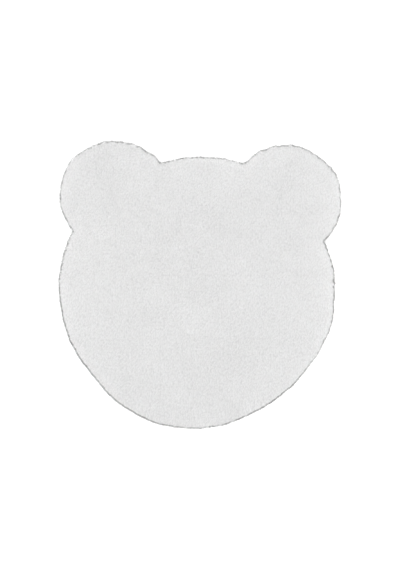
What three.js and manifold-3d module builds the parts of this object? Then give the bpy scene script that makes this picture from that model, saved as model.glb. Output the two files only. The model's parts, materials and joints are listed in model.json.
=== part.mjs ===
// A plush rug cut to the outline of a bear's head, with two round ears.
// It lies flat on the floor, pile up, with its ears towards +Y. Millimetres, +Z up.
// The origin is on the floor, under the middle of the rug.
// The rug is one piece of cloth, so it is one solid: a lumpy slab of pile
// that rounds over at its rim, with small locks of pile standing out from it.

import * as THREE from 'three';
import { mergeVertices } from 'three/addons/utils/BufferGeometryUtils.js';
import Module from 'manifold-3d';

const wasm = await Module();
wasm.setup();

// Driving dimensions of the cut. Each trim row moves the cut out by some
// millimetres at a heading in degrees, counted from +X towards +Y.
const face = {
  across: -11,
  up: -21,
  radius: 433,
  trim: [
    { heading: 0, out: 5 },
    { heading: 10, out: 8 },
    { heading: 18, out: 4 },
    { heading: 72, out: -1 },
    { heading: 90, out: -7 },
    { heading: 104, out: -9 },
    { heading: 158, out: 7 },
    { heading: 176, out: 7 },
    { heading: 190, out: 1 },
    { heading: 207, out: -4 },
    { heading: 220, out: -8 },
    { heading: 234, out: 0 },
    { heading: 254, out: 6 },
    { heading: 270, out: 3 },
    { heading: 290, out: -6 },
    { heading: 304, out: -8 },
    { heading: 324, out: -6 },
    { heading: 336, out: 1 },
    { heading: 346, out: 8 },
  ],
};
const ears = [
  {
    name: 'left',
    across: -270,
    up: 282,
    radius: 175.5,
    trim: [
      { heading: 44, out: 4 },
      { heading: 70, out: -2 },
      { heading: 100, out: 0 },
      { heading: 118, out: -2 },
      { heading: 141, out: 4 },
      { heading: 156, out: 0 },
      { heading: 186, out: 2 },
      { heading: 206, out: -3 },
      { heading: 300, out: 0 },
    ],
  },
  {
    name: 'right',
    across: 271,
    up: 265,
    radius: 178,
    trim: [
      { heading: 23, out: 4 },
      { heading: 40, out: 1 },
      { heading: 58, out: -3 },
      { heading: 90, out: 1 },
      { heading: 110, out: -2 },
      { heading: 138, out: 3 },
      { heading: 158, out: -3 },
      { heading: 240, out: 0 },
      { heading: 322, out: -2 },
      { heading: 342, out: -1 },
    ],
  },
];

// The cut's fine waver, as waves round the rug.
const waver = [
  { waves: 23, high: 0.9, shift: 0.4 },
  { waves: 41, high: 0.7, shift: 2.1 },
  { waves: 67, high: 0.5, shift: 4.4 },
];

// The pile's profile at the rim, from the floor up to where the top begins.
const pileHeight = 18;
const lumpFade = 3; // how fast the top's lumps die away down the rim
const rim = [
  { name: 'sole', inset: 7, height: 0 },
  { name: 'skirt', inset: 1.5, height: 1.6 },
  { name: 'belly', inset: 0, height: 6 },
  { name: 'shoulder', inset: 2.6, height: 12 },
  { name: 'brow', inset: 8, height: 16.2 },
  { name: 'top', inset: 20, height: pileHeight },
];

// Soft lumps of the top, as crossed waves with their lengths in millimetres.
const lumps = [
  { across: 170, up: 140, high: 0.4, shift: 0.3 },
  { across: -130, up: 210, high: 0.35, shift: 1.9 },
  { across: 260, up: -120, high: 0.35, shift: 3.2 },
  { across: 105, up: 420, high: 0.3, shift: 5.1 },
];

// Places where the pile is pressed down, or stands up where deep is negative.
const patches = [
  { name: 'left ear, brow', across: -316, up: 368, radius: 48, deep: 1.2 },
  { name: 'inside the left notch', across: -132, up: 324, radius: 38, deep: 0.9 },
  { name: 'right ear, middle', across: 286, up: 315, radius: 55, deep: 1 },
  { name: 'right ear, outer side', across: 372, up: 213, radius: 55, deep: -1 },
  { name: 'forehead, left', across: -104, up: 118, radius: 50, deep: 0.9 },
  { name: 'forehead, right', across: 58, up: 197, radius: 62, deep: 1.1 },
  { name: 'right cheek, high', across: 296, up: 86, radius: 50, deep: 0.9 },
  { name: 'right cheek, middle', across: 128, up: 67, radius: 60, deep: -0.8 },
  { name: 'middle', across: 10, up: -9, radius: 60, deep: 0.8 },
  { name: 'left of the nose', across: -132, up: -91, radius: 40, deep: 1.2 },
  { name: 'nose', across: -9, up: -123, radius: 45, deep: -0.9 },
  { name: 'left cheek, low', across: -339, up: -218, radius: 55, deep: -0.8 },
  { name: 'jaw, left', across: -228, up: -326, radius: 48, deep: 1.3 },
  { name: 'chin', across: -9, up: -263, radius: 68, deep: 1.4 },
  { name: 'chin, right', across: 128, up: -234, radius: 62, deep: 1.3 },
  { name: 'jaw, right', across: 300, up: -285, radius: 60, deep: -0.8 },
];

// How finely the cut is worked out, and how many points and rings the slab gets.
const fineSteps = 1440;
const outlinePoints = 216;
const topRings = 17;

// Locks stand out all round, and reach furthest where the cut edge is shaggy.
const lock = {
  count: 150,
  seed: 4711,
  sides: 3,
  root: 4.2, // radius of a lock where it leaves the rim
  flatness: 0.8, // its thickness as a share of its width
  sink: 7, // how deep its root sits inside the rim
  rootHeight: 7.5,
  kneeDrop: 0.5,
  kneeSway: 0.35, // share of the sway that the knee takes
  sway: 6,
  reach: 2.2,
  reachShare: { least: 0.55, most: 1.15 },
  tipHeight: { least: 2, most: 4.5 },
};
const shaggyStretches = [
  { name: 'right cheek', from: 2, to: 9, reach: 6 },
  { name: 'under the right ear', from: 20, to: 25, reach: 5 },
  { name: 'right ear, outer side', from: 26, to: 52, reach: 3.4 },
  { name: 'right ear, top', from: 56, to: 64, reach: 4 },
  { name: 'left ear, inner side', from: 107, to: 118, reach: 5.6 },
  { name: 'left ear, top', from: 119, to: 127, reach: 4.4 },
  { name: 'left cheek', from: 156, to: 172, reach: 3.2 },
];

const turn = THREE.MathUtils.degToRad(360);
const weldGap = 1e-3;

// A heading in degrees, from 0 up to 360.
function headingDegrees(heading) {
  return THREE.MathUtils.euclideanModulo(THREE.MathUtils.radToDeg(heading), 360);
}

// How far a trim table moves the cut at a heading, eased from row to row.
function trimAt(rows, heading) {
  const degrees = headingDegrees(heading);
  let before = { ...rows.at(-1), heading: rows.at(-1).heading - 360 };
  for (const row of [...rows, { ...rows[0], heading: rows[0].heading + 360 }]) {
    if (degrees <= row.heading) {
      return THREE.MathUtils.lerp(
        before.out,
        row.out,
        THREE.MathUtils.smoothstep(degrees, before.heading, row.heading),
      );
    }
    before = row;
  }
  return before.out;
}

// Where a ray from the middle of the face leaves a circle, or 0 where it misses.
function circleReach(ear, radius, heading) {
  const away = new THREE.Vector2(ear.across - face.across, ear.up - face.up);
  const along = away.x * Math.cos(heading) + away.y * Math.sin(heading);
  const half = radius ** 2 - away.lengthSq() + along ** 2;
  return half > 0 && along > 0 ? along + Math.sqrt(half) : 0;
}

// The same for an ear with its trim, which is counted round the ear's own middle.
function earReach(ear, heading) {
  const plain = circleReach(ear, ear.radius, heading);
  const x = face.across + plain * Math.cos(heading) - ear.across;
  const y = face.up + plain * Math.sin(heading) - ear.up;
  return circleReach(ear, ear.radius + trimAt(ear.trim, Math.atan2(y, x)), heading);
}

// The outline is the face or an ear, whichever reaches further at a heading.
function outlinePoint(heading) {
  const fine = waver.reduce((sum, w) => sum + w.high * Math.sin(w.waves * heading + w.shift), 0);
  const faceReach = face.radius + trimAt(face.trim, heading);
  const reach = fine + Math.max(faceReach, ...ears.map((ear) => earReach(ear, heading)));
  return new THREE.Vector2(
    face.across + reach * Math.cos(heading),
    face.up + reach * Math.sin(heading),
  );
}

// Points spaced evenly along the cut, each with its outward direction.
function evenOutline(count) {
  const fine = Array.from({ length: fineSteps }, (_, i) => outlinePoint((i / fineSteps) * turn));
  const cut = new THREE.Shape(fine);
  cut.closePath();
  const spots = cut.getSpacedPoints(count).slice(0, count);
  return spots.map((at, i) => {
    const before = spots.at(i - 1);
    const after = spots[(i + 1) % count];
    const out = new THREE.Vector2(after.y - before.y, before.x - after.x).normalize();
    return { at, out };
  });
}

// The height of the pile's top, with its lumps and its pressed patches.
function topHeight(x, y) {
  const waves = lumps.reduce(
    (sum, l) => sum + l.high * Math.sin((x / l.across + y / l.up) * turn + l.shift),
    0,
  );
  const pressed = patches.reduce((sum, p) => {
    const near = ((x - p.across) ** 2 + (y - p.up) ** 2) / p.radius ** 2;
    return sum + p.deep * Math.exp(-near);
  }, 0);
  return pileHeight + waves - pressed;
}

// A ring of the rim: the cut moved in by the row's inset, at the row's height.
function rimRing(outline, row) {
  const lumpShare = (row.height / pileHeight) ** lumpFade;
  return outline.map(({ at, out }) => {
    const x = at.x - out.x * row.inset;
    const y = at.y - out.y * row.inset;
    return [x, y, row.height + (topHeight(x, y) - pileHeight) * lumpShare];
  });
}

// A ring of the top: the rim's last ring drawn in towards the middle of the face.
function topRing(outline, share) {
  const { inset } = rim.at(-1);
  return outline.map(({ at, out }) => {
    const x = THREE.MathUtils.lerp(face.across, at.x - out.x * inset, share);
    const y = THREE.MathUtils.lerp(face.up, at.y - out.y * inset, share);
    return [x, y, topHeight(x, y)];
  });
}

// Triangles between two rings that start at one heading and go round the same way.
function stitch(outer, inner) {
  const triangles = [];
  let outerStep = 0;
  let innerStep = 0;
  while (outerStep < outer.count || innerStep < inner.count) {
    const a = outer.first + (outerStep % outer.count);
    const b = inner.first + (innerStep % inner.count);
    const outerIsNext = (outerStep + 1) / outer.count <= (innerStep + 1) / inner.count;
    if (outerIsNext) {
      outerStep += 1;
      triangles.push(a, outer.first + (outerStep % outer.count), b);
    } else {
      innerStep += 1;
      triangles.push(a, inner.first + (innerStep % inner.count), b);
    }
  }
  return triangles;
}

// Triangles from a ring to one point in its middle.
function fan(ring, middle, facesUp) {
  const triangles = [];
  for (let i = 0; i < ring.count; i += 1) {
    const a = ring.first + i;
    const b = ring.first + ((i + 1) % ring.count);
    triangles.push(...(facesUp ? [a, b, middle.first] : [b, a, middle.first]));
  }
  return triangles;
}

// The slab is a skin of rings: the rim's profile, then the top's rings, which close
// on the middle with fewer points each, and one point that closes the flat sole.
function slabGeometry() {
  const cut = evenOutline(outlinePoints);
  const rings = rim.map((row) => rimRing(cut, row));
  for (let ring = 1; ring < topRings; ring += 1) {
    const share = 1 - ring / topRings;
    rings.push(topRing(evenOutline(Math.round((outlinePoints / 2) * share)), share));
  }
  rings.push([[face.across, face.up, topHeight(face.across, face.up)]]);

  const corners = [];
  const spans = rings.map((ring) => {
    const first = corners.length;
    corners.push(...ring);
    return { first, count: ring.length };
  });
  const soleMiddle = { first: corners.length, count: 1 };
  corners.push([face.across, face.up, 0]);

  const triangles = fan(spans[0], soleMiddle, false);
  for (let ring = 0; ring + 2 < spans.length; ring += 1) {
    triangles.push(...stitch(spans[ring], spans[ring + 1]));
  }
  triangles.push(...fan(spans.at(-2), spans.at(-1), true));

  const geometry = new THREE.BufferGeometry();
  geometry.setAttribute('position', new THREE.Float32BufferAttribute(corners.flat(), 3));
  geometry.setIndex(triangles);
  return geometry;
}

// Irregular numbers, the same each time, between the least and the most of a range.
function seededNumbers(seed) {
  const factor = 16807;
  const limit = 2 ** 31 - 1;
  let state = seed;
  return ({ least, most }) => {
    state = (state * factor) % limit;
    return THREE.MathUtils.lerp(least, most, state / limit);
  };
}

// A lock is a three-sided cone bent along a short curve: out of the rim, then down.
function lockGeometry({ at, out }, reach, sway, tipHeight) {
  const side = new THREE.Vector3(out.y, -out.x, 0);
  const outward = new THREE.Vector3(out.x, out.y, 0);
  const up = new THREE.Vector3(0, 0, 1);
  const root = new THREE.Vector3(at.x, at.y, lock.rootHeight)
    .addScaledVector(outward, -lock.sink);
  const knee = new THREE.Vector3(at.x, at.y, lock.rootHeight - lock.kneeDrop)
    .addScaledVector(side, sway * lock.kneeSway);
  const tip = new THREE.Vector3(at.x, at.y, tipHeight)
    .addScaledVector(outward, reach)
    .addScaledVector(side, sway);
  const bend = new THREE.QuadraticBezierCurve3(root, knee, tip);

  const lengthSteps = 2;
  const geometry = new THREE.ConeGeometry(lock.root, 1, lock.sides, lengthSteps);
  geometry.translate(0, 0.5, 0);
  const place = geometry.getAttribute('position');
  for (let i = 0; i < place.count; i += 1) {
    const point = bend
      .getPoint(place.getY(i))
      .addScaledVector(side, place.getX(i))
      .addScaledVector(up, place.getZ(i) * lock.flatness);
    place.setXYZ(i, point.x, point.y, point.z);
  }
  return geometry;
}

// One lock at each of the evenly spaced spots, each with its own reach and sway.
function rimLocks() {
  const pick = seededNumbers(lock.seed);
  return evenOutline(lock.count).map((spot) => {
    const heading = headingDegrees(Math.atan2(spot.at.y - face.up, spot.at.x - face.across));
    const stretch = shaggyStretches.find((s) => heading >= s.from && heading <= s.to);
    const reach = (stretch ? stretch.reach : lock.reach) * pick(lock.reachShare);
    const sway = pick({ least: -lock.sway, most: lock.sway });
    return lockGeometry(spot, reach, sway, pick(lock.tipHeight));
  });
}

function solidOf(geometry) {
  for (const name of Object.keys(geometry.attributes)) {
    if (name !== 'position') geometry.deleteAttribute(name);
  }
  const merged = mergeVertices(geometry, weldGap);
  return new wasm.Manifold(
    new wasm.Mesh({
      numProp: 3,
      vertProperties: merged.getAttribute('position').array,
      triVerts: new Uint32Array(merged.index.array),
    }),
  );
}

function geometryOf(solid) {
  const mesh = solid.getMesh();
  const geometry = new THREE.BufferGeometry();
  geometry.setAttribute('position', new THREE.BufferAttribute(mesh.vertProperties, 3));
  geometry.setIndex(new THREE.BufferAttribute(mesh.triVerts, 1));
  geometry.computeVertexNormals();
  return geometry;
}

const rugSolid = rimLocks().reduce((sum, each) => sum.add(solidOf(each)), solidOf(slabGeometry()));
const pile = new THREE.MeshStandardMaterial({ color: 0xe6e6e6, roughness: 1, metalness: 0 });
const rug = new THREE.Mesh(geometryOf(rugSolid), pile);
rug.name = 'plush_rug';

const group = new THREE.Group();
group.add(rug);
export default group;
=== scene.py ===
import json
import math
import random

import bpy
import numpy as np
from mathutils import Matrix, Vector
from mathutils.kdtree import KDTree

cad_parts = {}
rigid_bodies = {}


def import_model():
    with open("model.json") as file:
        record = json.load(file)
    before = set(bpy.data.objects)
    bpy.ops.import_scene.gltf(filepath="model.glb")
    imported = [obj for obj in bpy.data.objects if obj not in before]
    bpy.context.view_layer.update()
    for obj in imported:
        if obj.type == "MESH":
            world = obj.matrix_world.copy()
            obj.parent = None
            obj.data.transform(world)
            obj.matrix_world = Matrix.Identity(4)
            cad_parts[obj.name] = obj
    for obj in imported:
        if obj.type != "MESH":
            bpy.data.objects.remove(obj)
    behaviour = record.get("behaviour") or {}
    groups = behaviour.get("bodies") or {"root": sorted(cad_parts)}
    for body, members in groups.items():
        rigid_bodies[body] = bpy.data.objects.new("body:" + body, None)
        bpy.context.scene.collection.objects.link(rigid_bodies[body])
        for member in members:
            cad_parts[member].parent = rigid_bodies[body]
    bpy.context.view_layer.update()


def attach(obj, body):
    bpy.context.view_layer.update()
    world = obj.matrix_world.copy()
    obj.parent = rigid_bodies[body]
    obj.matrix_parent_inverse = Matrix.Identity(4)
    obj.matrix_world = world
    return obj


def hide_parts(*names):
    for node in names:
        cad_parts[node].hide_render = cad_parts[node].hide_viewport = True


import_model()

mm = 0.001

# The cut.
# A face circle and two ear circles, in millimetres. A trim moves the cut out by
# some millimetres at a heading in degrees, as {heading: out}.
face = {
    "across": -11, "up": -21, "radius": 433,
    "trim": {0: 5.5, 10: 8.5, 18: 3, 72: -2, 88: -7, 104: -11, 158: 3, 176: 3.5, 190: -1.5, 200: -2,
             207: -5.5, 220: -10, 234: -1.5, 254: 4.5, 270: 2.5, 280: 0.5, 290: -5, 298: -7.5, 306: -7,
             324: -4.5, 336: 2.5, 346: 9},
}
leftEar = {
    "across": -270, "up": 282, "radius": 175.5,
    "trim": {44: 3, 57: -3, 67: -1.5, 80: -3.5, 100: -1.5, 118: -4, 130: -1.5, 141: 4.5, 157: -1,
             168: -2.5, 188: -1, 206: -3, 300: 0},
}
rightEar = {
    "across": 271, "up": 265, "radius": 178,
    "trim": {8: -1.5, 23: 5, 32: 2.5, 46: -1.5, 60: -3, 74: 0.5, 86: 1, 94: -2, 102: -0.5, 109: -3.5,
             117: 0.5, 130: -4, 143: 3, 158: -3, 240: 0, 322: -0.5, 346: 1},
}
waver = [  # the cut's fine waver round the rug, and how much more of it shows where the pile is shaggy
    {"waves": 23, "high": 0.4, "shaggy": 0, "shift": 0.4},
    {"waves": 41, "high": 0.4, "shaggy": 0, "shift": 2.1},
    {"waves": 67, "high": 0.4, "shaggy": 0.2, "shift": 4.4},
    {"waves": 127, "high": 0.5, "shaggy": 1.0, "shift": 1.3},
    {"waves": 173, "high": 0.4, "shaggy": 1.1, "shift": 5.2},
    {"waves": 251, "high": 0.0, "shaggy": 1.1, "shift": 3.7},
]
shaggy = [  # stretches of the cut where tufts stand out, by heading in degrees
    {"middle": 5, "half": 5, "wild": 0.8},
    {"middle": 22, "half": 3, "wild": 1.0},
    {"middle": 38, "half": 13, "wild": 0.7},
    {"middle": 60, "half": 5, "wild": 0.7},
    {"middle": 112, "half": 6, "wild": 1.0},
    {"middle": 123, "half": 5, "wild": 0.8},
    {"middle": 164, "half": 9, "wild": 0.6},
]
shaggyEnd = 1.5  # a shaggy stretch has faded out at this many times its half width
shaggyDepth = 10  # how far the shagginess reaches into the pile before it fades
cutDetail = {
    "steps": 2880,  # steps in which the cut is followed
    "noted": 1200,  # points kept, to find the nearest part of the cut
    "disc": 720,  # corners of a disc made to the cut
}


def shaggyAt(degrees):
    # how shaggy the cut is at a heading, from 0 to 1
    wild = 0 * degrees
    for row in shaggy:
        off = np.abs((degrees - row["middle"] + 180) % 360 - 180)
        wild = np.maximum(wild, row["wild"] * np.clip(shaggyEnd - off / row["half"], 0, 1))
    return wild


def trimAt(trim, heading):
    # how far a trim moves the cut out at a heading, eased between its rows
    degrees = math.degrees(heading) % 360
    rows = sorted(trim)
    for before, after in zip([rows[-1] - 360] + rows, rows + [rows[0] + 360]):
        if degrees <= after:
            share = (degrees - before) / (after - before)
            eased = share * share * (3 - 2 * share)
            return trim[before % 360] * (1 - eased) + trim[after % 360] * eased


def circleReach(ear, radius, heading):
    # where a ray from the middle of the face leaves a circle, or 0 where it misses
    awayX = ear["across"] - face["across"]
    awayY = ear["up"] - face["up"]
    along = awayX * math.cos(heading) + awayY * math.sin(heading)
    half = radius ** 2 - awayX ** 2 - awayY ** 2 + along ** 2
    return along + math.sqrt(half) if half > 0 and along > 0 else 0


def earReach(ear, heading):
    # where a ray from the middle of the face leaves a trimmed ear
    plain = circleReach(ear, ear["radius"], heading)
    x = face["across"] + plain * math.cos(heading) - ear["across"]
    y = face["up"] + plain * math.sin(heading) - ear["up"]
    return circleReach(ear, ear["radius"] + trimAt(ear["trim"], math.atan2(y, x)), heading)


def cutPoint(heading):
    wild = shaggyAt(math.degrees(heading))
    fine = sum((wave["high"] + wave["shaggy"] * wild) * math.sin(wave["waves"] * heading + wave["shift"])
               for wave in waver)
    reach = fine + max(face["radius"] + trimAt(face["trim"], heading),
                       earReach(leftEar, heading), earReach(rightEar, heading))
    return np.array([face["across"] + reach * math.cos(heading), face["up"] + reach * math.sin(heading)])


def evenCut(count):
    # points spaced evenly along the cut, and the outward direction at each
    steps = cutDetail["steps"]
    fine = np.array([cutPoint(2 * math.pi * step / steps) for step in range(steps + 1)])
    run = np.concatenate([[0], np.cumsum(np.hypot(*np.diff(fine, axis=0).T))])
    wanted = np.linspace(0, run[-1], count, endpoint=False)
    points = np.column_stack([np.interp(wanted, run, fine[:, axis]) for axis in (0, 1)])
    along = np.roll(points, -1, axis=0) - np.roll(points, 1, axis=0)
    outward = np.column_stack([along[:, 1], -along[:, 0]])
    return points, outward / np.hypot(*outward.T)[:, None]


cutPoints, cutOutward = evenCut(cutDetail["noted"])
cutTree = KDTree(len(cutPoints))
for index, point in enumerate(cutPoints):
    cutTree.insert((point[0], point[1], 0), index)
cutTree.balance()


def nearestCut(x, y):
    # millimetres to the cut, and which of its points is nearest
    _, index, distance = cutTree.find((x, y, 0))
    return distance, index


# Small helpers for work by hand.
bpy.context.tool_settings.mesh_select_mode = (False, False, True)


def deselectAll():
    for thing in bpy.context.view_layer.objects:
        thing.select_set(False)


def takeUp(piece):
    # makes a piece the only selected one and the active one
    deselectAll()
    piece.select_set(True)
    bpy.context.view_layer.objects.active = piece


def nameIt(name):
    piece = bpy.context.active_object
    piece.name = name
    piece.data.name = name
    return piece


def settle(piece):
    # leaves the object at the origin, with its place in its mesh
    takeUp(piece)
    bpy.ops.object.transform_apply(location=True, rotation=True, scale=True)


def finishWith(piece, kind, **settings):
    # adds one modifier and applies it
    takeUp(piece)
    modifier = piece.modifiers.new(kind.lower(), kind)
    for setting, value in settings.items():
        setattr(modifier, setting, value)
    bpy.ops.object.modifier_apply(modifier=modifier.name)


def stretch(piece, times):
    # makes a piece taller, or flatter again
    takeUp(piece)
    bpy.ops.transform.resize(value=(1, 1, times))
    settle(piece)


def openMesh():
    # goes into the active piece's mesh, with all of it selected
    bpy.ops.object.mode_set(mode="EDIT")
    bpy.ops.mesh.select_all(action="SELECT")


def closeMesh():
    # turns all faces outward and leaves the mesh
    bpy.ops.mesh.select_all(action="SELECT")
    bpy.ops.mesh.normals_make_consistent(inside=False)
    bpy.ops.object.mode_set(mode="OBJECT")


def pullUp(rise):
    bpy.ops.mesh.extrude_region_move(TRANSFORM_OT_translate={"value": (0, 0, rise * mm)})


def insetBy(inset, rise):
    bpy.ops.mesh.inset(thickness=inset * mm, depth=rise * mm)


def placesOf(piece):
    # the piece's points, one row each, in metres
    places = np.empty(len(piece.data.vertices) * 3)
    piece.data.vertices.foreach_get("co", places)
    return places.reshape(-1, 3)


def setAttribute(piece, name, kind, values):
    made = piece.data.attributes.new(name, kind, "POINT")
    made.data.foreach_set("vector" if kind == "FLOAT_VECTOR" else "value", np.ravel(values))


def dropAttributes(piece, names):
    for name in names:
        left = piece.data.attributes.get(name)
        if left:
            piece.data.attributes.remove(left)


def cutDisc(name, inset, height):
    # a flat disc at some height, its rim moved onto the cut
    deselectAll()
    points, outward = evenCut(cutDetail["disc"])
    bpy.ops.mesh.primitive_circle_add(
        vertices=cutDetail["disc"], radius=face["radius"] * mm, fill_type="NGON",
        location=(0, 0, height * mm))
    piece = nameIt(name)
    settle(piece)
    for vertex, at, out in zip(piece.data.vertices, points, outward):
        vertex.co.x = (at[0] - out[0] * inset) * mm
        vertex.co.y = (at[1] - out[1] * inset) * mm
    return piece


# Nodes.
class Wire:
    # wraps a socket, so that a sum in Python adds its Math nodes
    def __init__(self, socket):
        self.socket = socket

    def other(self, name):
        # another output of the same node
        return Wire(next(s for s in self.socket.node.outputs if s.name == name and s.enabled))

    def maths(self, operation, *values):
        return Board(self.socket.id_data).maths(operation, *values)

    def __add__(self, value):
        return self.maths("ADD", self, value)

    def __radd__(self, value):
        return self.maths("ADD", value, self)

    def __sub__(self, value):
        return self.maths("SUBTRACT", self, value)

    def __rsub__(self, value):
        return self.maths("SUBTRACT", value, self)

    def __mul__(self, value):
        return self.maths("MULTIPLY", self, value)

    def __rmul__(self, value):
        return self.maths("MULTIPLY", value, self)

    def __truediv__(self, value):
        return self.maths("DIVIDE", self, value)

    def __rtruediv__(self, value):
        return self.maths("DIVIDE", value, self)


class Board:
    # the node tree of a material, of the world or of a modifier
    def __init__(self, tree):
        self.tree = tree

    def add(self, kind, sockets=None, output=None, **settings):
        # adds a node, sets or links its sockets, and gives the output asked for or the first one
        node = self.tree.nodes.new(kind)
        for setting, value in settings.items():
            setattr(node, setting, value)
        for name, value in (sockets or {}).items():
            socket = node.inputs[name] if isinstance(name, int) else next(
                s for s in node.inputs if s.name == name and s.enabled)
            if isinstance(value, Wire):
                self.tree.links.new(value.socket, socket)
            else:
                socket.default_value = value
        shown = [s for s in node.outputs if s.enabled and output in (None, s.name)]
        return Wire(shown[0]) if shown else node

    def maths(self, operation, *values, clamp=False):
        return self.add("ShaderNodeMath", dict(enumerate(values)), operation=operation, use_clamp=clamp)

    def vectors(self, operation, *values, output=None):
        return self.add("ShaderNodeVectorMath", dict(enumerate(values)), output, operation=operation)

    def scaled(self, vector, factor):
        return self.add("ShaderNodeVectorMath", {0: vector, "Scale": factor}, operation="SCALE")

    def mix(self, kind, factor, first, second):
        return self.add("ShaderNodeMix", {"Factor": factor, "A": first, "B": second}, "Result",
                        data_type=kind)

    def place(self):
        return self.add("ShaderNodeTexCoord", output="Object")

    def noise(self, grain):
        return self.add("ShaderNodeTexNoise", {
            "Vector": self.place(), "Scale": grain["scale"], "Detail": grain["detail"]}, "Fac")

    def ramp(self, factor, stops):
        # a colour by a factor, from two stops
        colour = self.add("ShaderNodeValToRGB", {"Fac": factor})
        for element, (position, shade) in zip(colour.socket.node.color_ramp.elements, stops):
            element.position = position
            element.color = (*shade, 1)
        return colour

    def seen(self, name, output="Fac"):
        # what a material finds noted on the mesh
        return self.add("ShaderNodeAttribute", output=output, attribute_name=name)

    def noted(self, name, kind="FLOAT"):
        # what a modifier finds noted on the mesh
        return self.add("GeometryNodeInputNamedAttribute", {"Name": name}, "Attribute", data_type=kind)

    def note(self, geometry, name, value, kind="FLOAT", domain="POINT"):
        return self.add("GeometryNodeStoreNamedAttribute", {
            "Geometry": geometry, "Name": name, "Value": value}, data_type=kind, domain=domain)

    def chance(self, seed, low=0.0, high=1.0, kind="FLOAT"):
        return self.add("FunctionNodeRandomValue", {"Min": low, "Max": high, "Seed": seed}, data_type=kind)

    def surface(self, sockets):
        self.add("ShaderNodeOutputMaterial", {"Surface": self.add("ShaderNodeBsdfPrincipled", sockets)})


def newMaterial(name):
    material = bpy.data.materials.new(name)
    material.use_nodes = True
    material.node_tree.nodes.clear()
    return material, Board(material.node_tree)


# Materials.
wool = {
    "root": (0.95, 0.95, 0.95),  # painted shade: a little darker deep between the tufts
    "tip": (0.965, 0.963, 0.965),
    "paintedRimShade": (0.27, 0.268, 0.265),  # painted shade: the dark line along the cut, where the pile's edge lies in shadow
    "toneVariation": 0.025,  # how much one step of tone lightens the pile
    "tuftVariation": 0.015,  # how much tufts differ in lightness
    "gapShade": 0.20,  # painted shade: how much darker the pile is between the locks
    "gapMiddle": 0.45,  # where it is neither lighter nor darker
    "softness": 0.36,  # how far a fibre is shaded as the pile round it is
    "roughness": 0.9,
    "roughnessVariation": 0.2,
    "sheen": 0.25,
    "sheenRoughness": 0.5,
    "specular": 0.15,
    "strands": {"scale": 2600, "detail": 2, "depth": 0.0002, "strength": 0.35},
}
deepPile = {
    # painted shade: the deep pile is darker than the tufts, since it lies in their shade
    "shade": 0.86,
    "partingWidth": 10,  # the tufts part near the cut, and the deep pile there gets more painted shade
    "partingShade": 0.12,
    "roughness": 0.85,
    "roughnessVariation": 0.15,
    "specular": 0.1,
    "tangle": {"scale": 420, "detail": 4, "depth": 0.002, "strength": 0.8},
}
edgeShade = {  # painted shade along the cut edge: how strong it is, as {heading: share}, and how unevenly
    "middle": 0.9,  # where the painted shade is strongest, in millimetres inside the cut
    "width": 3.2,
    "spotty": 0.35,  # how much tufts differ in their share of the painted shade
    "share": {10: 0.78, 30: 0.53, 50: 0.63, 70: 0.45, 90: 0.5, 110: 0.62, 130: 0.45, 150: 0.55, 170: 0.61,
              190: 0.8, 210: 0.81, 230: 0.67, 250: 0.83, 270: 0.54, 290: 0.69, 310: 0.93, 330: 0.42,
              350: 0.69},
    "uneven": [
        {"across": 61, "up": 43, "gain": 0.12, "shift": 0},
        {"across": -33, "up": 47, "gain": 0.10, "shift": 0},
        {"across": 17, "up": 13, "gain": 0.14, "shift": 0},
        {"across": -11, "up": 9, "gain": 0.18, "shift": 0},
    ],
}


def fibreColour(board, along):
    # the pile's colour from root to tip, and the painted shade along the cut edge by how far inside the
    # cut it lies
    near = (board.seen("inside") - edgeShade["middle"]) / edgeShade["width"]
    squared = near * near
    fade = board.maths("EXPONENT", 0 - squared * squared)
    # painted shade: the dark line along the cut
    edge = board.maths("MULTIPLY", fade, board.seen("edgeShare"), clamp=True)
    # darker at the roots than at the tips: painted shade deep in the pile
    upward = board.mix("RGBA", along, (*wool["root"], 1), (*wool["tip"], 1))
    return board.mix("RGBA", edge, upward, (*wool["paintedRimShade"], 1))


def scaleColour(board, colour, factor):
    grey = board.add("ShaderNodeCombineXYZ", {"X": factor, "Y": factor, "Z": factor})
    return board.vectors("MULTIPLY", colour, grey)


def softNormal(board):
    # fibres let light through, so each is shaded partly as the pile round it is
    own = board.add("ShaderNodeNewGeometry", output="Normal")
    shared = board.seen("pileNormal", "Vector")
    return board.vectors("NORMALIZE", board.mix("VECTOR", wool["softness"], own, shared))


def tuftMaterial():
    material, board = newMaterial("plush fibres")
    # painted light and shade from the tone, the tufts' own lightness, and painted shade between the locks
    brightness = (1 + board.seen("tone") * wool["toneVariation"]
                  + (board.seen("chance") - 0.5) * wool["tuftVariation"]
                  + (wool["gapMiddle"] - board.seen("gap")) * wool["gapShade"])
    strands = board.noise(wool["strands"])
    bump = board.add("ShaderNodeBump", {
        "Height": strands, "Distance": wool["strands"]["depth"], "Strength": wool["strands"]["strength"],
        "Normal": softNormal(board)})
    board.surface({
        "Base Color": scaleColour(board, fibreColour(board, board.seen("along")), brightness),
        "Roughness": wool["roughness"] + (strands - 0.5) * wool["roughnessVariation"],
        "Sheen Weight": wool["sheen"], "Sheen Roughness": wool["sheenRoughness"],
        "Specular IOR Level": wool["specular"], "Normal": bump})
    return material


def bedMaterial():
    material, board = newMaterial("deep pile")
    tangle = board.noise(deepPile["tangle"])
    # painted shade: the deep pile is darker, more so where the tufts part near the cut
    near = board.seen("inside") / deepPile["partingWidth"]
    parting = board.maths("EXPONENT", 0 - near * near)
    brightness = (deepPile["shade"] + board.seen("tone") * wool["toneVariation"]
                  - parting * deepPile["partingShade"])
    bump = board.add("ShaderNodeBump", {
        "Height": tangle, "Distance": deepPile["tangle"]["depth"],
        "Strength": deepPile["tangle"]["strength"]})
    board.surface({
        "Base Color": scaleColour(board, fibreColour(board, tangle), brightness),
        "Roughness": deepPile["roughness"] + tangle * deepPile["roughnessVariation"],
        "Sheen Weight": wool["sheen"], "Sheen Roughness": wool["sheenRoughness"],
        "Specular IOR Level": deepPile["specular"], "Normal": bump})
    return material


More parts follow.
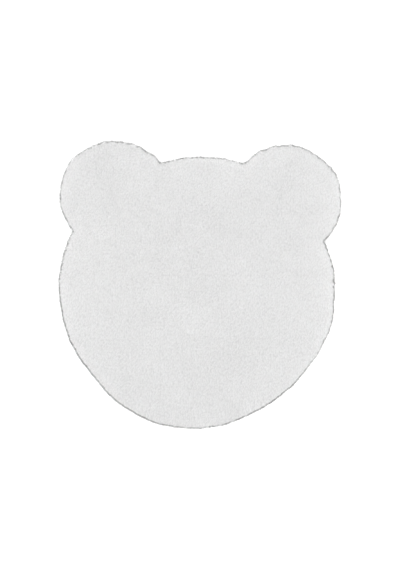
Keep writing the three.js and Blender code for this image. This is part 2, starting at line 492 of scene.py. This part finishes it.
groundWeave = {
    "pitch": 1.6,  # from thread to thread
    "light": (0.74, 0.72, 0.68),
    "dark": (0.56, 0.54, 0.50),
    "fullLight": 0.8,  # how high a thread has to stand to be fully light; lower parts of the weave get painted shade
    "distortion": 0.6,
    "detail": 2,
    "detailScale": 1.5,
    "depth": 0.0005,
    "strength": 0.7,
    "slub": {"scale": 60, "detail": 3},
    "slubShare": 0.3,
    "roughness": 0.8,
    "roughnessVariation": 0.2,
    "specular": 0.2,
}


def groundMaterial():
    # a plain canvas weave: two sets of threads that cross
    material, board = newMaterial("woven ground cloth")
    threads = {}
    for axis in ("X", "Y"):  # the bands are pi / 10 apart at a scale of 1
        threads[axis] = board.add("ShaderNodeTexWave", {
            "Vector": board.place(), "Scale": math.pi / (10 * groundWeave["pitch"] * mm),
            "Distortion": groundWeave["distortion"], "Detail": groundWeave["detail"],
            "Detail Scale": groundWeave["detailScale"]}, "Fac", wave_type="BANDS", bands_direction=axis)
    weave = threads["X"] * threads["Y"]
    slub = board.noise(groundWeave["slub"])
    # painted shade: the weave is darker where the threads lie low
    stops = [(0.0, groundWeave["dark"]), (groundWeave["fullLight"], groundWeave["light"])]
    colour = board.ramp(weave * (1 - groundWeave["slubShare"]) + slub * groundWeave["slubShare"], stops)
    bump = board.add("ShaderNodeBump", {
        "Height": weave, "Distance": groundWeave["depth"], "Strength": groundWeave["strength"]})
    board.surface({
        "Base Color": colour,
        "Roughness": groundWeave["roughness"] + slub * groundWeave["roughnessVariation"],
        "Specular IOR Level": groundWeave["specular"], "Normal": bump})
    return material


# Ground cloth.
groundCloth = {
    "thick": 2.0,
    "inset": 2.5,  # how far it stays inside the cut
    "border": 1.2,  # a ring of faces along its edge
    "rounding": 0.6,
}


def makeGroundCloth():
    cloth = cutDisc("ground_cloth", groundCloth["inset"], 0)
    openMesh()
    pullUp(groundCloth["thick"])
    insetBy(groundCloth["border"], 0)
    closeMesh()
    finishWith(cloth, "BEVEL", width=groundCloth["rounding"] * mm, segments=2, limit_method="ANGLE")
    cloth.data.materials.append(groundMaterial())
    return cloth


# Pile bed.
bed = {
    "inset": 2.3,  # how far the bed's widest line stays inside the cut
    "waist": 5.0,  # height of that line
    "band": 0.8,  # height of the band along it
    "below": [(1.6, 2.6)],  # (inset, drop) steps under it
    "above": [(0.5, 2.6), (1.0, 1.9), (1.8, 1.1), (2.8, 0.6), (4.5, 0.3)],  # (inset, rise) steps over it
    "voxel": 5.0,
    "stretch": 4,
    "fade": 3,  # how soon the lumps and patches fade down the sides
}
lumps = [  # the top's soft lumps, as crossed waves with their lengths in millimetres
    {"across": 170, "up": 140, "high": 0.4, "shift": 0.3},
    {"across": -130, "up": 210, "high": 0.35, "shift": 1.9},
    {"across": 260, "up": -120, "high": 0.35, "shift": 3.2},
    {"across": 105, "up": 420, "high": 0.3, "shift": 5.1},
]
patches = [  # where the pile is pressed down, or stands up where deep is negative
    {"across": -316, "up": 380, "radius": 55, "deep": 1.2},
    {"across": -126, "up": 324, "radius": 34, "deep": 0.9},
    {"across": 60, "up": 362, "radius": 70, "deep": -0.9},
    {"across": 250, "up": 420, "radius": 60, "deep": -1.0},
    {"across": 274, "up": 310, "radius": 40, "deep": 0.8},
    {"across": 380, "up": 300, "radius": 60, "deep": -1.2},
    {"across": 390, "up": 195, "radius": 38, "deep": -1.6},
    {"across": -145, "up": 385, "radius": 25, "deep": 1.1},
    {"across": 115, "up": -410, "radius": 45, "deep": 1.0},
    {"across": 70, "up": 195, "radius": 60, "deep": 1.1},
    {"across": -100, "up": 115, "radius": 60, "deep": 0.9},
    {"across": 190, "up": 270, "radius": 38, "deep": 1.0},
    {"across": 130, "up": 45, "radius": 60, "deep": -0.7},
    {"across": -5, "up": -10, "radius": 60, "deep": 1.0},
    {"across": 40, "up": 0, "radius": 55, "deep": 0.8},
    {"across": 190, "up": -115, "radius": 35, "deep": 1.0},
    {"across": 300, "up": -195, "radius": 40, "deep": 1.0},
    {"across": -150, "up": -270, "radius": 45, "deep": 0.8},
    {"across": -190, "up": 380, "radius": 40, "deep": -1.0},
    {"across": -240, "up": 391, "radius": 9, "deep": -2.0},
    {"across": 288, "up": 386, "radius": 8, "deep": 2.0},
    {"across": -131, "up": 329, "radius": 8, "deep": 1.5},
    {"across": -323, "up": 355, "radius": 12, "deep": 1.2},
    {"across": -20, "up": -147, "radius": 10, "deep": -1.5},
    {"across": -165, "up": -95, "radius": 40, "deep": 1.4},
    {"across": 5, "up": -120, "radius": 42, "deep": -0.6},
    {"across": 110, "up": -140, "radius": 50, "deep": 0.6},
    {"across": -230, "up": -200, "radius": 50, "deep": 0.9},
    {"across": -220, "up": -325, "radius": 50, "deep": 1.4},
    {"across": -10, "up": -250, "radius": 75, "deep": 1.6},
    {"across": 125, "up": -225, "radius": 70, "deep": 1.4},
    {"across": 50, "up": -330, "radius": 60, "deep": 0.7},
]


def waveAt(wave, x, y):
    # a straight wave across the rug, from -1 to 1
    return np.sin((x / wave["across"] + y / wave["up"]) * 2 * np.pi + wave["shift"])


def lumpsAt(x, y):
    return sum(lump["high"] * waveAt(lump, x, y) for lump in lumps)


def pressedAt(x, y):
    pressed = 0
    for patch in patches:
        away = (x - patch["across"]) ** 2 + (y - patch["up"]) ** 2
        pressed = pressed + patch["deep"] * np.exp(-away / patch["radius"] ** 2)
    return pressed


def makeBed():
    piece = cutDisc("pile_bed", bed["inset"], bed["waist"])
    openMesh()
    pullUp(bed["band"])
    for inset, rise in bed["above"]:
        insetBy(inset, rise)
    bpy.ops.mesh.select_all(action="DESELECT")
    bpy.ops.object.mode_set(mode="OBJECT")
    lowest = min(piece.data.polygons, key=lambda polygon: (polygon.center.z, -polygon.area))
    lowest.select = True
    bpy.ops.object.mode_set(mode="EDIT")
    for inset, drop in bed["below"]:
        insetBy(inset, drop)
    closeMesh()
    stretch(piece, bed["stretch"])  # so that the voxels are finer in height than across
    finishWith(piece, "REMESH", mode="VOXEL", voxel_size=bed["voxel"] * mm)
    stretch(piece, 1 / bed["stretch"])
    return piece


def shapeBed(piece):
    # presses the lumps and patches into the bed's top, and notes on its points what the tufts need
    places = placesOf(piece)
    x, y = places[:, 0] / mm, places[:, 1] / mm
    fade = np.clip(places[:, 2] / places[:, 2].max(), 0, 1) ** bed["fade"]
    places[:, 2] += (lumpsAt(x, y) - pressedAt(x, y)) * fade * mm
    piece.data.vertices.foreach_set("co", places.ravel())
    piece.data.update()

    near = [nearestCut(*spot) for spot in zip(x, y)]
    inside = np.array([distance for distance, _ in near])
    outward = cutOutward[[index for _, index in near]]
    setAttribute(piece, "tone", "FLOAT", toneAt(x, y, inside, outward))
    setAttribute(piece, "inside", "FLOAT", inside)
    setAttribute(piece, "outward", "FLOAT_VECTOR", np.column_stack([outward, np.zeros(len(x))]))
    # how strong the painted shade along the cut edge is here
    setAttribute(piece, "edgeShare", "FLOAT", rimShadeShareAt(x, y))
    setAttribute(piece, "wild", "FLOAT", wildAt(x, y, inside))
    setAttribute(piece, "lean", "FLOAT_VECTOR", leanAt(x, y, inside, outward))


# How the pile lies, and its tone with painted light and shade.
brushed = {
    "lean": 1.1,  # sideways share of a tuft's direction
    "heading": 250,  # degrees, the way the pile mostly lies
    "swirls": [  # crossed waves that turn the pile, with their lengths in millimetres
        {"across": 510, "up": 390, "turn": 8, "shift": 0.4},
        {"across": -330, "up": 620, "turn": 6, "shift": 2.6},
        {"across": 180, "up": -220, "turn": 3, "shift": 4.4},
    ],
    "fan": {"across": -278, "up": 362, "radius": 48, "turn": 30},  # pile that fans out on the left ear
    "rim": 0.7,  # how strongly the pile leans out over the cut
    "rimWidth": 6,
}
tones = {
    "middle": -0.2,  # the tone of the pile before all that follows
    "pressed": -0.55,  # the pressed patches look darker
    "lumps": 0.2,  # painted light and shade: the lumps' crests are lighter and their hollows darker
    "border": {"width": 76, "gain": 0.85},  # the pile looks lighter towards the cut
    "sides": [  # painted light and shade: the rim is lighter or darker by the way it faces the light
        {"heading": 0, "width": 34, "gain": 2.2},
        {"heading": 180, "width": 40, "gain": 1.4},
        {"heading": 100, "width": 45, "gain": 0.2},
        {"heading": 275, "width": 70, "gain": -1.7},
    ],
}


def leanAt(x, y, inside, outward):
    # the sideways part of the pile's direction
    turned = brushed["heading"] + sum(swirl["turn"] * waveAt(swirl, x, y) for swirl in brushed["swirls"])
    fan = brushed["fan"]
    side = (x - fan["across"]) / fan["radius"]
    away = (y - fan["up"]) / fan["radius"]
    turned = turned - fan["turn"] * side * np.exp(-side ** 2 - away ** 2)
    lean = np.column_stack([np.cos(np.radians(turned)), np.sin(np.radians(turned)), np.zeros(len(x))])
    out = np.exp(-inside / brushed["rimWidth"])[:, None]
    lean[:, :2] = lean[:, :2] * (1 - out) * brushed["lean"] + outward * out * brushed["rim"]
    return lean


def toneAt(x, y, inside, outward):
    # painted light and shade from the lumps and from the way the rim faces, with the pressed patches
    # darker
    tone = tones["middle"] + tones["pressed"] * pressedAt(x, y) + tones["lumps"] * lumpsAt(x, y)
    tone += tones["border"]["gain"] * np.exp(-inside / tones["border"]["width"])
    for side in tones["sides"]:
        heading = math.radians(side["heading"])
        facing = outward @ [math.cos(heading), math.sin(heading)]
        tone += side["gain"] * np.clip(facing, 0, 1) * np.exp(-inside / side["width"])
    return tone


def headingAt(x, y):
    return np.degrees(np.arctan2(y - face["up"], x - face["across"])) % 360


def rimShadeShareAt(x, y):
    # how strong the painted shade along the cut edge is
    rows = sorted(edgeShade["share"].items())
    share = np.interp(headingAt(x, y), [row[0] for row in rows], [row[1] for row in rows], period=360)
    for wave in edgeShade["uneven"]:
        share = share + wave["gain"] * waveAt(wave, x, y)
    return share


def wildAt(x, y, inside):
    return shaggyAt(headingAt(x, y)) * np.exp(-inside / shaggyDepth)


# Tufts.
tuft = {
    "radius": 1.5,
    "length": 7.5,
    "spacing": 1.95,
    "crowded": 3.0,  # roots tried in a square of the spacing, which fills the bed evenly
    "scale": (0.9, 1.15),
    "stray": 0.10,  # how much each goes its own way
    "flat": 0.4,  # a tuft's thickness as a share of its width
    "roll": 15,  # degrees it turns about its length
    "wildLonger": 1.0,  # how much longer it may be where the pile is shaggy
    "mapMargin": 0.05,
    "seed": 11,
    "seedStep": 10,  # from one part of the pile to the next
}
locks = {  # tufts gather in small locks
    "size": 5.7,
    "randomness": 0.8,  # how unevenly their middles are spread
    "waver": 3.0,  # how far their outlines waver
    "waverLength": 0.6,  # length of that waver, in lock sizes
    "gap": 1.3,  # how fast the gap deepens away from a lock's middle
    "pull": 0.08,  # how far tufts draw towards a lock's middle
    "tilt": 0.15,  # how round a lock looks
    "drop": 0.3,  # how much lower the pile is between locks
}
zones = [  # parts of the pile, in millimetres
    {"name": "pile_left_ear", "across": (-500, 0), "up": (190, 500)},
    {"name": "pile_right_ear", "across": (0, 500), "up": (190, 500)},
    {"name": "pile_left_cheek", "across": (-500, 0), "up": (-80, 190)},
    {"name": "pile_right_cheek", "across": (0, 500), "up": (-80, 190)},
    {"name": "pile_left_jaw", "across": (-500, 0), "up": (-500, -80)},
    {"name": "pile_right_jaw", "across": (0, 500), "up": (-500, -80)},
]
rooted = {"above": 4, "facing": -0.25}  # tufts grow above this height, on faces that don't look down


def makeTuft():
    # one tuft: a slim three-sided spike that stands on the origin
    deselectAll()
    bpy.ops.mesh.primitive_cone_add(
        vertices=3, radius1=tuft["radius"] * mm, depth=tuft["length"] * mm,
        location=(0, 0, tuft["length"] * mm / 2), end_fill_type="NGON")
    piece = nameIt("tuft")
    openMesh()
    bpy.ops.transform.resize(value=(1, tuft["flat"], 1))
    bpy.ops.uv.smart_project(island_margin=tuft["mapMargin"])
    bpy.ops.object.mode_set(mode="OBJECT")
    settle(piece)
    bpy.ops.object.shade_smooth()
    setAttribute(piece, "along", "FLOAT", [v.co.z / (tuft["length"] * mm) for v in piece.data.vertices])
    piece.data.uv_layers[0].name = "ownMap"
    return piece


def gatherLocks(board, place):
    # cells with wavering outlines: the way in to a lock's middle, and the gap between locks
    wavering = board.add("ShaderNodeTexNoise", {
        "Vector": place, "Scale": 1 / (locks["waverLength"] * locks["size"] * mm), "Detail": 1.0}, "Color")
    waverReach = 2 * locks["waver"] * mm
    moved = board.vectors("MULTIPLY_ADD", wavering, (waverReach, waverReach, 0), place)
    lockDistance = board.add("ShaderNodeTexVoronoi", {
        "Vector": moved, "Scale": 1 / (locks["size"] * mm), "Randomness": locks["randomness"]}, "Distance",
        voronoi_dimensions="2D")
    inward = board.vectors("SUBTRACT", lockDistance.other("Position"), moved)
    halfLock = locks["size"] * mm / 2
    inward = board.vectors("MULTIPLY", inward, (1 / halfLock, 1 / halfLock, 0))
    return inward, lockDistance * locks["gap"]


def mapCell(board, points):
    # a cell of its own for each tuft on the piece's map, and how many columns of cells there are
    count = board.add("GeometryNodeAttributeDomainSize", {"Geometry": points}, "Point Count",
                      component="POINTCLOUD")
    columns = board.maths("CEIL", board.maths("SQRT", count))
    number = board.add("GeometryNodeInputIndex")
    row = board.maths("FLOOR", number / columns)
    return board.add("ShaderNodeCombineXYZ", {"X": number - row * columns, "Y": row}), columns


def tuftRotation(board, upright, inward, seed):
    # up from the bed, over to where the pile lies, and in towards the lock's middle
    stray = board.chance(seed + 2, (-tuft["stray"],) * 3, (tuft["stray"],) * 3, "FLOAT_VECTOR")
    direction = upright
    for part in (board.noted("lean", "FLOAT_VECTOR"), board.scaled(inward, locks["pull"]), stray):
        direction = board.vectors("ADD", direction, part)
    aimed = board.add("FunctionNodeAlignRotationToVector", {"Vector": direction}, axis="Z")
    aimed = board.add("FunctionNodeAlignRotationToVector", {"Rotation": aimed, "Vector": (0, 0, 1)},
                      axis="Y", pivot_axis="Z")
    roll = math.radians(tuft["roll"])
    spin = board.add("ShaderNodeCombineXYZ", {"Z": board.chance(seed + 3, -roll, roll)})
    return board.add("FunctionNodeRotateRotation", {
        "Rotation": aimed, "Rotate By": board.add("FunctionNodeEulerToRotation", {0: spin})},
        rotation_space="LOCAL")


def tuftScale(board, gap, seed):
    # tufts differ in size, and are longer where the pile is shaggy and shorter between locks
    size = board.chance(seed + 4, *tuft["scale"])
    luck = board.chance(seed + 5)
    wilder = 1 + board.noted("wild") * luck * luck * tuft["wildLonger"]
    longer = wilder * (1 - gap * (locks["drop"] / tuft["length"]))
    return board.add("ShaderNodeCombineXYZ", {"X": size, "Y": size, "Z": size * longer})


def tuftNodes(spike, seed):
    tree = bpy.data.node_groups.new("growTufts", "GeometryNodeTree")
    tree.interface.new_socket("Geometry", in_out="INPUT", socket_type="NodeSocketGeometry")
    tree.interface.new_socket("Geometry", in_out="OUTPUT", socket_type="NodeSocketGeometry")
    board = Board(tree)
    skin = board.add("NodeGroupInput", output="Geometry")
    roots = board.add("GeometryNodeDistributePointsOnFaces", {
        "Mesh": skin, "Distance Min": tuft["spacing"] * mm, "Seed": seed,
        "Density Max": tuft["crowded"] / (tuft["spacing"] * mm) ** 2}, "Points",
        distribute_method="POISSON")
    upright = roots.other("Normal")
    place = board.add("GeometryNodeInputPosition")
    inward, gap = gatherLocks(board, place)
    rounded = board.vectors("MULTIPLY_ADD", inward, (-locks["tilt"], -locks["tilt"], 0), upright)
    cell, columns = mapCell(board, roots)
    chance = board.chance(seed + 1)

    # what the tufts keep from their roots
    noted = board.note(roots, "cell", cell, "FLOAT_VECTOR")
    noted = board.note(noted, "chance", chance)
    noted = board.note(noted, "pileNormal", board.vectors("NORMALIZE", rounded), "FLOAT_VECTOR")
    noted = board.note(noted, "gap", gap)
    noted = board.note(noted, "root", place, "FLOAT_VECTOR")
    # each tuft's share of the painted shade along the cut, spotty from tuft to tuft
    spotted = 1 - edgeShade["spotty"] + chance * (2 * edgeShade["spotty"])
    noted = board.note(noted, "edgeShare", board.noted("edgeShare") * spotted)

    # a spike on each root, made real
    placed = board.add("GeometryNodeInstanceOnPoints", {
        "Points": noted, "Instance": board.add("GeometryNodeObjectInfo", {"Object": spike}, "Geometry"),
        "Rotation": tuftRotation(board, upright, inward, seed), "Scale": tuftScale(board, gap, seed)})
    joined = board.add("GeometryNodeRealizeInstances", {"Geometry": placed})

    # how far inside the cut each corner of a tuft lies
    fromRoot = board.vectors("SUBTRACT", place, board.noted("root", "FLOAT_VECTOR"))
    outBy = board.vectors("DOT_PRODUCT", fromRoot, board.noted("outward", "FLOAT_VECTOR"), output="Value")
    joined = board.note(joined, "inside", board.noted("inside") - outBy / mm)

    # the piece's map, on which each tuft has its cell
    both = board.vectors("ADD", board.noted("ownMap", "FLOAT_VECTOR"), board.noted("cell", "FLOAT_VECTOR"))
    final = board.note(joined, "OFBake", board.scaled(both, 1 / columns), "FLOAT2", "CORNER")
    board.add("NodeGroupOutput", {"Geometry": final})
    return tree


def growZone(zone, skin, spike, material, seed):
    # a copy of the bed is cut down to the zone, and its tufts take its place
    takeUp(skin)
    bpy.ops.object.duplicate()
    piece = nameIt(zone["name"])
    left, right = zone["across"]
    bottom, top = zone["up"]
    for polygon in piece.data.polygons:
        x, y, z = polygon.center / mm
        inZone = left <= x < right and bottom <= y < top
        polygon.select = not (inZone and polygon.normal.z > rooted["facing"] and z > rooted["above"])
    bpy.ops.object.mode_set(mode="EDIT")
    bpy.ops.mesh.delete(type="FACE")
    bpy.ops.object.mode_set(mode="OBJECT")
    finishWith(piece, "NODES", node_group=tuftNodes(spike, seed))
    dropAttributes(piece, ("ownMap", "cell", "lean", "wild", "root", "outward"))
    piece.data.materials.clear()
    piece.data.materials.append(material)
    return piece


# Rim locks.
rimLock = {
    "sides": 5,
    "radius": 1.5,
    "flat": 0.7,
    "length": 10,
    "rings": [(0.3, 0.95), (0.6, 0.7), (0.85, 0.4), (1.0, 0.1)],  # (share of length, share of radius)
    "droop": 0.22,  # how far the tip bends down, as a share of the length
    "places": 630,  # places round the rug
    "calmShare": 0.7,  # share of places that have a lock where the cut is calm
    "sink": 5.5,  # how far inside the cut a lock starts
    "heights": (5.0, 12.5),
    "calmReach": (0.0, 1.3),  # how far locks stand out of the cut
    "wildReach": 6.5,  # how much further they may where it is shaggy
    "wide": (0.8, 1.15),
    "wildWider": 0.8,
    "sway": 38,  # degrees it turns along the cut
    "rise": (-8, 22),
    "facing": {"out": 0.6, "up": 0.8},  # the way it is shaded
    "gap": 0.4,  # it gets the painted shade of pile this far into a gap
    "leastRimShade": 0.5,  # its least share of the painted shade along the cut edge
    "seed": 5,
}


def makeRimLock():
    # one lock of pile: it stands on the origin, narrows to its tip and bends over
    deselectAll()
    bpy.ops.mesh.primitive_circle_add(
        vertices=rimLock["sides"], radius=rimLock["radius"] * mm, fill_type="NGON", location=(0, 0, 0))
    piece = nameIt("rim_lock")
    openMesh()
    upBefore, wideBefore = 0, 1
    for up, wide in rimLock["rings"]:
        pullUp((up - upBefore) * rimLock["length"])
        bpy.ops.transform.resize(value=(wide / wideBefore, wide / wideBefore, 1))
        upBefore, wideBefore = up, wide
    closeMesh()
    long = rimLock["length"] * mm
    for vertex in piece.data.vertices:
        share = vertex.co.z / long
        vertex.co.x = vertex.co.x * rimLock["flat"] + rimLock["droop"] * long * share ** 2
    bpy.ops.object.shade_smooth()
    setAttribute(piece, "along", "FLOAT", [v.co.z / long for v in piece.data.vertices])
    return piece


def lockPlace(chance, at, outward, wild):
    # turns and stretches a lock to stand out of the cut at one place
    bold = wild * chance.random()
    reach = chance.uniform(*rimLock["calmReach"]) + bold * rimLock["wildReach"]
    root = (*(at - outward * rimLock["sink"]), chance.uniform(*rimLock["heights"]))
    turn = math.atan2(outward[1], outward[0]) + math.radians(chance.uniform(-1, 1) * rimLock["sway"])
    rise = math.radians(90 - chance.uniform(*rimLock["rise"]))
    longer = (rimLock["sink"] + reach) / rimLock["length"]
    wider = chance.uniform(*rimLock["wide"]) + rimLock["wildWider"] * bold
    return (Matrix.Translation(Vector(root) * mm) @ Matrix.Rotation(turn, 4, "Z")
            @ Matrix.Rotation(rise, 4, "Y") @ Matrix.Diagonal((wider, wider, longer, 1)))


def plantRimLocks(material):
    chance = random.Random(rimLock["seed"])
    first = makeRimLock()
    points, outward = evenCut(rimLock["places"])
    wild = wildAt(points[:, 0], points[:, 1], np.zeros(len(points)))
    planted = []
    for at, out, wildHere in zip(points, outward, wild):
        if chance.random() > rimLock["calmShare"] + wildHere:
            continue
        lock = first.copy()
        lock.data = first.data.copy()
        lock.matrix_world = lockPlace(chance, at, out, wildHere)
        bpy.context.scene.collection.objects.link(lock)
        planted.append(lock)
    bpy.data.objects.remove(first)
    takeUp(planted[0])
    for lock in planted:
        lock.select_set(True)
    bpy.ops.object.join()
    piece = nameIt("rim_locks")
    settle(piece)
    shadeRimLocks(piece, len(piece.data.vertices) // len(planted), chance)
    piece.data.materials.append(material)
    return piece


def shadeRimLocks(piece, perLock, chance):
    # notes on the locks what their material needs
    x, y, _ = placesOf(piece).T / mm
    near = np.array([nearestCut(*spot)[1] for spot in zip(x, y)])
    outward = cutOutward[near]
    inside = ((cutPoints[near] - np.column_stack([x, y])) * outward).sum(axis=1)
    facing = rimLock["facing"]
    normals = np.column_stack([outward * facing["out"], np.full(len(x), facing["up"])])
    lots = np.repeat([chance.random() for _ in range(len(x) // perLock)], perLock)
    setAttribute(piece, "tone", "FLOAT", toneAt(x, y, np.maximum(inside, 0), outward))
    setAttribute(piece, "inside", "FLOAT", inside)
    # the painted shade along the cut edge, by lock
    setAttribute(piece, "edgeShare", "FLOAT", rimShadeShareAt(x, y) * (rimLock["leastRimShade"] + lots))
    setAttribute(piece, "gap", "FLOAT", np.full(len(x), rimLock["gap"]))
    setAttribute(piece, "chance", "FLOAT", lots)
    setAttribute(piece, "pileNormal", "FLOAT_VECTOR", normals)


groundClothPiece = makeGroundCloth()
print("ground cloth made,", len(groundClothPiece.data.polygons), "faces")

pileBed = makeBed()
shapeBed(pileBed)
pileBed.data.materials.append(bedMaterial())
takeUp(pileBed)
bpy.ops.object.shade_smooth()
print("bed made,", len(pileBed.data.polygons), "faces")

spike = makeTuft()
fibres = tuftMaterial()
pile = [growZone(zone, pileBed, spike, fibres, tuft["seed"] + tuft["seedStep"] * index)
        for index, zone in enumerate(zones)]
bpy.data.objects.remove(spike)
dropAttributes(pileBed, ("lean", "wild", "outward"))
rimLocks = plantRimLocks(fibres)
print("pile grown, faces", [len(piece.data.polygons) for piece in pile + [rimLocks]])

# What rides, and what stands for the solid.
allPieces = [groundClothPiece, pileBed, rimLocks] + pile
for piece in allPieces:
    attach(piece, "root")
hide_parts("plush_rug")
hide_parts("plush_rug")


# Studio, in metres.
floorLook = {
    "size": 8,
    "drop": 0.0002,  # how far it lies under the rug
    "colour": (0.93, 0.93, 0.93),
    "glow": 0.35,
    "grain": {"scale": 3, "detail": 2},
    "roughness": 0.6,
    "roughnessVariation": 0.2,
}
skyStrength = 1.47
softboxes = {
    "softbox": {"size": 2.6, "place": (0, 0, 3.0), "watts": 8},
    "side_light": {"size": 1.6, "place": (2.6, 0.5, 1.6), "watts": 8},
}
view = {
    "across": 0.8,  # millimetres, as up and pixel are
    "up": -1.4,
    "pixel": 3.172,
    "pixelsHigh": 570,
    "distance": 5.0,
    "pileTop": 0.012,  # the height that the distance is measured from
    "sensor": 36,
    "farthest": 50,
}


def makeFloor():
    deselectAll()
    bpy.ops.mesh.primitive_plane_add(size=floorLook["size"], location=(0, 0, -floorLook["drop"]))
    floor = nameIt("floor")
    settle(floor)
    material, board = newMaterial("pale floor")
    grain = board.noise(floorLook["grain"])
    board.surface({
        "Base Color": (*floorLook["colour"], 1),
        "Roughness": floorLook["roughness"] + grain * floorLook["roughnessVariation"],
        "Specular IOR Level": 0.0, "Emission Color": (1, 1, 1, 1), "Emission Strength": floorLook["glow"]})
    floor.data.materials.append(material)


def addSoftbox(name, look):
    deselectAll()
    bpy.ops.object.light_add(type="AREA", location=look["place"])
    lamp = bpy.context.active_object
    lamp.name = name
    lamp.data.shape = "SQUARE"
    lamp.data.size = look["size"]
    lamp.data.energy = look["watts"]
    lamp.rotation_euler = (-Vector(look["place"])).to_track_quat("-Z", "Y").to_euler()


def makeSky():
    world = bpy.data.worlds.new("studio")
    world.use_nodes = True
    world.node_tree.nodes.clear()
    board = Board(world.node_tree)
    light = board.add("ShaderNodeBackground", {"Color": (1, 1, 1, 1), "Strength": skyStrength})
    board.add("ShaderNodeOutputWorld", {"Surface": light})
    bpy.context.scene.world = world


def makeCamera():
    camera = bpy.data.cameras.new("camera")
    camera.lens = view["sensor"] * view["distance"] / (view["pixelsHigh"] * view["pixel"] * mm)
    camera.sensor_width = view["sensor"]
    camera.clip_end = view["farthest"]
    holder = bpy.data.objects.new("camera", camera)
    holder.location = (view["across"] * mm, view["up"] * mm, view["distance"] + view["pileTop"])
    bpy.context.scene.collection.objects.link(holder)
    bpy.context.scene.camera = holder


makeFloor()
makeSky()
for name, look in softboxes.items():
    addSoftbox(name, look)
makeCamera()
bpy.context.scene.view_settings.view_transform = "Standard"
print("studio ready")
